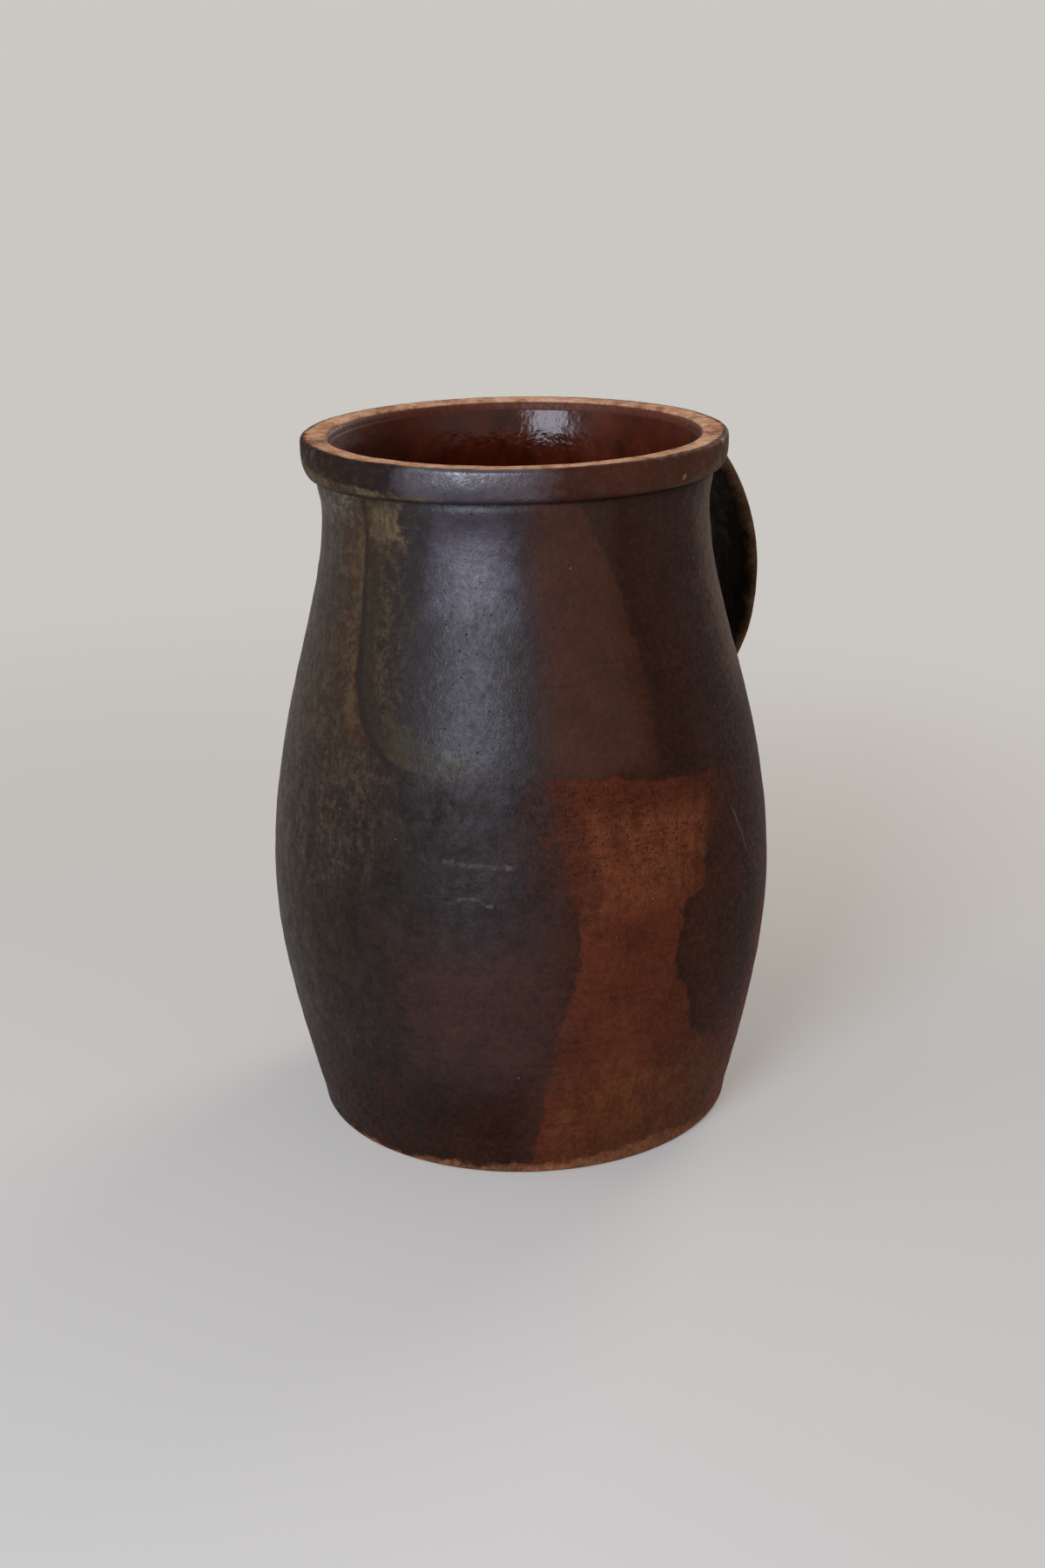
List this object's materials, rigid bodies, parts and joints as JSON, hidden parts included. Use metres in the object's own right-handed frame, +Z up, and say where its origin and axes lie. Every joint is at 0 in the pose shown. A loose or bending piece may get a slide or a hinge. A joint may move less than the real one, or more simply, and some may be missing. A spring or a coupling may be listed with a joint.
{
  "type": "jug",
  "caption": "Wide-mouthed stoneware jug with a bellied wall, a thick lapped rim collar and a pulled strap handle luted on at the back, glazed inside.",
  "frame": {"origin": "centre of the flat foot, on the jug's axis", "axes": "+Z up along the jug's axis towards the mouth, +X towards the handle"},
  "size_m": [0.2724, 0.2484, 0.34],
  "materials": {
    "salt_glazed_stoneware": "satin orange-peel salt glaze over dark brown stoneware",
    "luting_clay": "satin, finger-smoothed",
    "slip_glaze": "glossy red-brown slip glaze"
  },
  "bodies": {
    "root": {"thrown_body": "salt_glazed_stoneware", "rim_collar": "salt_glazed_stoneware", "strap_handle": "salt_glazed_stoneware", "handle_top_luting": "luting_clay", "handle_tail_luting": "luting_clay", "liner_glaze": "slip_glaze"}
  },
  "joints": []
}
